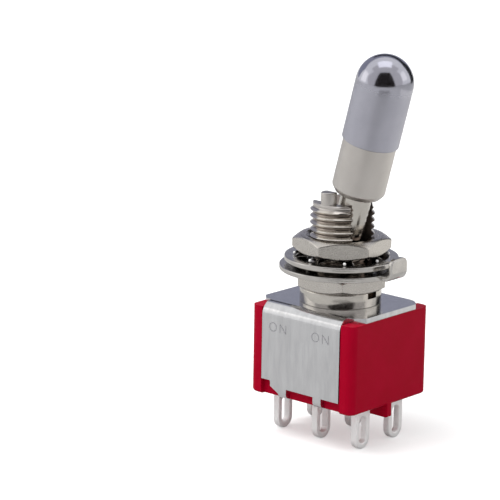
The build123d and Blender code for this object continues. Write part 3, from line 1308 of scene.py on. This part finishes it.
@dataclass
class Lever:
    """Leaning stem with its pivot ball, the pull-up sleeve and its domed cap."""

    levels: Levels
    lean: float = 15.0
    stem: float = 1.45
    tail_radius: float = 0.85
    tail_length: float = 8.0
    ball: float = 2.0
    rod_top: float = 16.2
    rod_head: float = 1.7
    rod_head_height: float = 0.3
    rod_edge: float = 0.1
    sleeve_foot: float = 6.6
    sleeve_top: float = 15.0
    sleeve_radius: float = 2.48
    sleeve_chamfer: Point = (0.35, 0.5)
    sleeve_bore: float = 1.52
    chamber: float = 1.9
    shoulder: float = 8.0
    cap_foot: float = 11.8
    cap_shoulder: float = 17.55
    cap_radius: float = 2.65

    def leant(self, outline: Sequence[Point], steps: int, ring: bool = False) -> Form:
        """Turn an outline about the lever's own axis and set it leaning on its pivot.

        Args:
            outline: (radius, distance from the pivot) points.
            steps: facets round the axis.
            ring: whether the last point joins the first.

        Returns:
            The turned form, in its place at rest.
        """
        pivot = Matrix.Translation((0, 0, self.levels.pivot))
        lean = Matrix.Rotation(math.radians(self.lean), 4, "Y")
        return moved(lathe(outline, steps, ring), pivot @ lean)

    def stem_form(self) -> Form:
        """Turn the tail, ball, stem and riveted rod end in one outline.

        Returns:
            Their form.
        """
        radius, length, edge = self.tail_radius, self.tail_length, self.rod_edge
        head, top, seat = self.rod_head, self.rod_top, self.rod_top - self.rod_head_height
        low = math.degrees(math.asin(radius / self.ball))
        high = math.degrees(math.acos(self.stem / self.ball))
        return self.leant([
            (0, -length), (radius - edge, -length), (radius, -length + edge),
            *arc((0, 0), self.ball, low - 90, high, 24),
            (self.stem, seat), (head, seat), (head, top - edge), (head - edge, top), (0, top),
        ], 64)

    def sleeve_form(self) -> Form:
        """Turn the sleeve with its lead-in foot and inner shoulder.

        Returns:
            Its form.
        """
        wide, tall = self.sleeve_chamfer
        bore, outer = self.sleeve_bore, self.sleeve_radius
        foot, top = self.sleeve_foot, self.sleeve_top
        return self.leant(softened([
            (bore, foot), (outer - wide, foot, 0.12), (outer, foot + tall, 0.3), (outer, top),
            (self.chamber, top), (self.chamber, self.shoulder), (bore, self.shoulder),
        ], 5), 128, True)

    def cap_form(self) -> Form:
        """Turn the cap that is pressed over the sleeve, with its foot's small steps and its dome.

        Returns:
            Its form.
        """
        outer, foot = self.cap_radius, self.cap_foot
        return self.leant([
            (self.sleeve_radius, foot + 0.02), (self.sleeve_radius + 0.04, foot),
            (outer - 0.06, foot), (outer, foot + 0.08),
            *arc((0, self.cap_shoulder), outer, 0, 88, 30), (0, self.cap_shoulder + outer),
        ], 128)

    def build(self, stem: Finish, sleeve: Finish, cap: Finish) -> None:
        """Make the stem, the sleeve and the cap.

        Args:
            stem: finish of the stem.
            sleeve: finish of the sleeve.
            cap: finish of the cap.
        """
        piece("turned_stem", self.stem_form(), stem, Body.LEVER, ["lever_stem"])
        piece("pull_sleeve", self.sleeve_form(), sleeve, Body.SLEEVE,
              ["lock_sleeve"])
        piece("domed_cap", self.cap_form(), cap, Body.SLEEVE, ["lever_cap"])


@dataclass
class SolderLugs:
    """Six blanked lugs with long eyes; the middle two end in cradles for the rockers."""

    levels: Levels
    width: float = 2.0
    thickness: float = 0.7
    eye_width: float = 1.0
    eye_length: float = 2.6
    eye_margin: float = 0.55
    pad_top: float = -10.15
    cradle_top: float = -9.88
    horn_width: float = 0.35
    horn_height: float = 0.8
    edge: float = 0.11
    pitch: float = 4.7
    row: float = 2.4

    @property
    def places(self) -> dict[str, Point]:
        """Lay out the two rows.

        Returns:
            Place of each lug by its name.
        """
        rows, columns = {"front": -1, "back": 1}, {"left": -1, "common": 0, "right": 1}
        return {f"{name}_{side}": (x * self.pitch, y * self.row)
                for side, y in rows.items() for name, x in columns.items()}

    def form(self, middle: bool) -> Form:
        """Shape one lug at the origin of its place.

        Args:
            middle: whether it carries a rocker's cradle.

        Returns:
            The lug's form.
        """
        half, thin, foot = self.width / 2, self.thickness / 2, self.levels.lug_foot
        head = [(half, self.pad_top), (-half, self.pad_top)]
        if middle:
            inner, seat = half - self.horn_width, self.cradle_top
            tip = seat + self.horn_height
            head = [(half, tip), (inner, tip), (inner, seat),
                    (-inner, seat), (-inner, tip), (-half, tip)]
        blade = prism([*head, *arc((0, foot + half), half, 180, 360, 20)], -thin, thin, Axis.X)
        reach, start = self.eye_width / 2, foot + self.eye_margin
        eye = [*arc((0, start + reach), reach, 180, 360, 14),
               *arc((0, start + self.eye_length - reach), reach, 0, 180, 14)]
        form = flattened(without(blade, prism(eye, -OVER, OVER, Axis.X)))
        return eased(form, self.edge, 50, 3, lambda p: p.z < self.levels.case_foot + 0.5)

    def build(self, finish: Finish) -> None:
        """Make the six lugs.

        Args:
            finish: finish of all of them.
        """
        for name, (x, y) in self.places.items():
            form = moved(self.form(x == 0), Matrix.Translation((x, y, 0)))
            piece(f"solder_lug_{name}", form, finish, Body.CASE, [f"lug_{name}"])


@dataclass
class Mechanism:
    """Sealed inner pieces, which keep their CAD form and get their own finishes."""

    moulded: tuple[str, ...] = ("actuator_block",)
    sprung: tuple[str, ...] = ("return_spring", "plunger_spring_front", "plunger_spring_back",
                               "block_pin")
    steel: tuple[str, ...] = ("spring_retainer", "plunger_front", "plunger_back")
    contacts: tuple[str, ...] = ("rocker_front", "rocker_back")

    def dress(self, moulding: Finish, wire: Finish, steel: Finish, contact: Finish) -> None:
        """Give each kept node its finish.

        Args:
            moulding: finish of the moulded block.
            wire: finish of the springs and the pin.
            steel: finish of the plungers and the retainer.
            contact: finish of the rockers.
        """
        for names, finish in ((self.moulded, moulding), (self.sprung, wire),
                              (self.steel, steel), (self.contacts, contact)):
            for name in names:
                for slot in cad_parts[name].material_slots:
                    slot.material = finish
                log.info("node %s: %s", name, finish.name)


# ---------------------------------------------------------------- studio


@dataclass
class Camera:
    """Long lens at the photograph's view; angles in degrees, lengths in millimetres."""

    azimuth: float = 41.43
    elevation: float = 13.87
    roll: float = 0.913
    distance: float = 251.1
    shift_right: float = 8.395
    shift_up: float = -4.588
    level: float = -3.45
    focus_pixels: float = 2703.6
    picture_pixels: float = 500.0
    sensor: float = 36.0

    def build(self) -> None:
        """Create the camera and make it the scene's own."""
        az, el, roll = (math.radians(v) for v in (self.azimuth, self.elevation, self.roll))
        back = Vector((math.sin(az) * math.cos(el), -math.cos(az) * math.cos(el), math.sin(el)))
        right = Vector((0, 0, 1)).cross(back).normalized()
        up = back.cross(right)
        right, up = (math.cos(roll) * right + math.sin(roll) * up,
                     math.cos(roll) * up - math.sin(roll) * right)
        spot = back * self.distance - right * self.shift_right - up * self.shift_up
        spot += Vector((0, 0, self.level))
        data = bpy.data.cameras.new("camera")
        data.sensor_width = self.sensor
        data.lens = self.focus_pixels / self.picture_pixels * self.sensor
        data.clip_start, data.clip_end = 0.01, 20
        camera = linked("camera", data)
        turn = Matrix((right, up, back)).transposed().to_4x4()
        camera.matrix_world = Matrix.Translation(spot * MM) @ turn
        bpy.context.scene.camera = camera


@dataclass(frozen=True)
class Card:
    """Board near the object that only polished metal sees; sizes and places in millimetres.

    Attributes:
        name: name of the board.
        azimuth: direction that it stands in, in degrees from -Y towards +X.
        distance: distance of its middle from the bushing's axis.
        level: level of its middle.
        tilt: how far it leans over the object, in degrees.
        half_width: half its width.
        half_height: half its height.
        shade: its light.
        taper: width of its top as a share of its foot's.
    """

    name: str
    azimuth: float
    distance: float
    level: float
    tilt: float
    half_width: float
    half_height: float
    shade: Colour
    taper: float = 1.0

    def build(self) -> None:
        """Stand the board up across its azimuth, tilted over the object."""
        az, tilt = math.radians(self.azimuth), math.radians(self.tilt)
        out = Vector((math.sin(az), -math.cos(az), 0))
        side = Vector((0, 0, 1)).cross(out)
        up = Vector((0, 0, 1)) * math.cos(tilt) - out * math.sin(tilt)
        middle = out * self.distance + Vector((0, 0, self.level))
        corners = [
            (middle + side * across * self.half_width + up * along * self.half_height) * MM
            for across, along in ((-1, -1), (1, -1), (self.taper, 1), (-self.taper, 1))
        ]
        mesh = bpy.data.meshes.new(self.name)
        mesh.from_pydata(corners, [], [(0, 1, 2, 3)])
        graph = Graph.named(self.name)
        glow = graph.add("Emission", Color=(*self.shade, 1), Strength=1.0)
        mesh.materials.append(graph.finished(glow))
        card = linked(self.name, mesh)
        for ray in ("camera", "diffuse", "shadow", "transmission", "volume_scatter"):
            setattr(card, f"visible_{ray}", False)


@dataclass
class Studio:
    """White surroundings, a pale floor, a soft lamp and the boards that the metal mirrors."""

    floor_level: float
    cards: tuple[Card, ...] = (
        Card("board_far", 221.4, 370, 190, 25, 520, 180, (0.33, 0.34, 0.42)),
        Card("board_near", 41.4, 380, 260, 25, 1400, 330, (0.68, 0.67, 0.68)),
        Card("board_over", 41.4, 120, 560, 90, 500, 125, (0.68, 0.67, 0.68)),
        Card("window_left", -56, 420, 150, 0, 110, 120, (1.5, 1.48, 1.45)),
        Card("window_right", 128, 420, 190, 0, 100, 110, (1.4, 1.38, 1.36)),
        Card("wall_right", 150, 46, -7, 0, 46, 9, (0.9, 0.89, 0.87)),
        Card("sheet_low", 41.4, 74, -15.8, 90, 28, 20, (0.33, 0.33, 0.33)),
        Card("board_dark", 41.4, 62, 50, 0, 52, 40, (0.012, 0.009, 0.008), 0.58),
        Card("strip_back", 202, 300, 190, 34, 200, 50, (0.02, 0.02, 0.022)),
        Card("strip_side", 176, 300, 30, 0, 80, 130, (0.02, 0.02, 0.022)),
        Card("board_top", 41.4, 0, 420, 90, 150, 110, (1.6, 1.6, 1.65)),
    )
    ambient: float = 0.75
    floor_radius: float = 0.9
    floor_shade: float = 0.55
    paper_shade: float = 0.76
    paper_lift: float = 0.4
    lamp_place: Spot = (-0.15, -0.2, 0.5)
    lamp_size: float = 0.35
    lamp_power: float = 2.2

    def world(self) -> None:
        """Set white for what the lens, gloss and glass see, and a plain level for the light."""
        world = bpy.data.worlds.new("surroundings")
        bpy.context.scene.world = world
        graph = Graph(world)
        rays = graph.add("LightPath").outputs
        seen = rays["Is Camera Ray"]
        for ray in ("Is Glossy Ray", "Is Transmission Ray"):
            seen = graph.add("Math", (seen, rays[ray]), operation="MAXIMUM").outputs[0]
        light = graph.add("Background", Color=(1, 1, 1, 1), Strength=self.ambient)
        white = graph.add("Background", Color=(1, 1, 1, 1))
        mix = graph.add("MixShader", (seen, light.outputs[0], white.outputs[0]))
        graph.add("OutputWorld", Surface=mix.outputs[0])

    def floor(self) -> None:
        """Lay the pale floor under the lugs, which keeps the object's shadow."""
        mesh = mesh_of(lathe([(0, 0), (self.floor_radius, 0)], 64), "floor")
        graph = Graph.named("pale_floor")
        seen = graph.add("LightPath").outputs["Is Camera Ray"]
        under = graph.add("BsdfDiffuse", Color=(*[self.floor_shade] * 3, 1))
        paper = graph.add("BsdfDiffuse", Color=(*[self.paper_shade] * 3, 1))
        lift = graph.add("Emission", Color=(1, 1, 1, 1), Strength=self.paper_lift)
        both = graph.add("AddShader", (paper.outputs[0], lift.outputs[0]))
        mix = graph.add("MixShader", (seen, under.outputs[0], both.outputs[0]))
        mesh.materials.append(graph.finished(mix))
        floor = linked("floor", mesh)
        floor.location.z = self.floor_level * MM

    def lamp(self) -> None:
        """Hang the soft square lamp, aimed at the object; its sizes are in metres and watts."""
        data = bpy.data.lights.new("top_lamp", "AREA")
        data.size, data.energy = self.lamp_size, self.lamp_power
        lamp = linked("top_lamp", data)
        lamp.location = self.lamp_place
        lamp.rotation_euler = Vector(self.lamp_place).to_track_quat("Z", "Y").to_euler()
        lamp.visible_glossy = False

    def build(self) -> None:
        """Set up the whole studio."""
        self.world()
        self.floor()
        for card in self.cards:
            card.build()
        self.lamp()
        bpy.context.scene.view_settings.view_transform = "Standard"


def main() -> None:
    """Build and dress the whole switch."""
    logging.basicConfig(level=logging.INFO, format="%(message)s")
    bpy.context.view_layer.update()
    levels = Levels()
    lever, washer, lugs = Lever(levels), LockWasher(), SolderLugs(levels)
    Camera().build()

    red = Moulding("red_plastic", (0.42, 0.0, 0.02), (0.38, 0.0, 0.016), (0.34, 0.4),
                   0.0003, 0.04).material()
    dark = Moulding("dark_nylon", (0.05, 0.05, 0.055), (0.03, 0.03, 0.034), (0.4, 0.55)).material()
    sheet = PlatedMetal("bright_sheet", (0.67, 0.67, 0.68), (0.57, 0.57, 0.58), (0.12, 0.2), 2.2,
                        (1.2, 6.0, 0.25), drift=(1.0, 1.0, 0.16)).material()
    plate = PlatedMetal("turned_plate", (0.6, 0.57, 0.52), (0.54, 0.51, 0.47),
                        (0.12, 0.22)).material()
    nut = PlatedMetal("satin_plate", (0.585, 0.555, 0.515), (0.54, 0.51, 0.475), (0.24, 0.3),
                      marks=(1.2, 1.2, 3.0), mark_depth=0.00015).material()
    # Thread finish, darkened towards the axis: partly dirt, partly painted shade in the grooves.
    thread = PlatedMetal("cut_thread", (0.66, 0.62, 0.57), (0.6, 0.56, 0.51), (0.12, 0.18),
                         marks=(1.5, 1.5, 6), mark_depth=0.0002, groove_dirt_and_shade=(2.66, 2.86)).material()
    # Darker, duller copy of the plate for the slot's walls: painted shade inside the slot.
    slot = PlatedMetal("shaded_slot_wall", (0.36, 0.31, 0.29), (0.3, 0.26, 0.24), (0.3, 0.4)).material()
    steel = PlatedMetal("stamped_steel", (0.58, 0.56, 0.53), (0.5, 0.48, 0.46),
                        (0.16, 0.26)).material()
    # Near-black finish for the washer's broad tooth faces: painted shade in the gap under the upper
    # nut.
    teeth_shade = PlatedMetal("painted_shade_teeth", (0.05, 0.045, 0.045), (0.03, 0.026, 0.026),
                        (0.12, 0.2)).material()
    sleeve = PlatedMetal("satin_nickel", (0.6, 0.57, 0.54), (0.56, 0.53, 0.5), (0.3, 0.4), 0.5,
                         (2.0, 2.0, 12.0), 0.0004, lever.lean).material()
    grip = PlatedMetal("polished_cap", (0.48, 0.48, 0.54), (0.44, 0.44, 0.5), (0.34, 0.42), 0.5,
                       (2.0, 2.0, 12.0), 0.0003, lever.lean, polish=(17.3, 18.6, 0.42)).material()
    # Near-white tin of the lugs; on the washer's beads the same white is a painted glint.
    tin_and_glint = PlatedMetal("bright_tin_and_glint", (0.98, 0.975, 0.97), (0.94, 0.935, 0.93), (0.4, 0.5), 1.5,
                      metallic=0.25).material()
    wire = PlatedMetal("spring_wire", (0.5, 0.5, 0.51), (0.4, 0.4, 0.41), (0.25, 0.35)).material()
    contact = PlatedMetal("contact_silver", (0.8, 0.76, 0.68), (0.72, 0.66, 0.56),
                          (0.2, 0.35)).material()
    # Grey of the stamped letters: painted shade that stands in for their relief.
    letter_shade = PlatedMetal("stamped_letter", (0.44, 0.44, 0.46), (0.38, 0.38, 0.4),
                      (0.4, 0.5)).material()

    Case(levels, lugs).build(red)
    FoldedFrame(levels).build(sheet, letter_shade)
    Bushing(levels).build(plate, thread, sleeve, slot)
    HexNut("lower_hex_nut", "lower_nut", foot=levels.collar_top, turn=-18.6).build(nut)
    HexNut("upper_hex_nut", "upper_nut", foot=washer.gap, turn=-48.6).build(nut)
    LocatingRing().build(steel)
    washer.build(steel, teeth_shade, tin_and_glint)
    lever.build(plate, sleeve, grip)
    lugs.build(tin_and_glint)
    Mechanism().dress(dark, wire, steel, contact)
    Studio(levels.lug_foot).build()


if __name__ == "__main__":
    main()
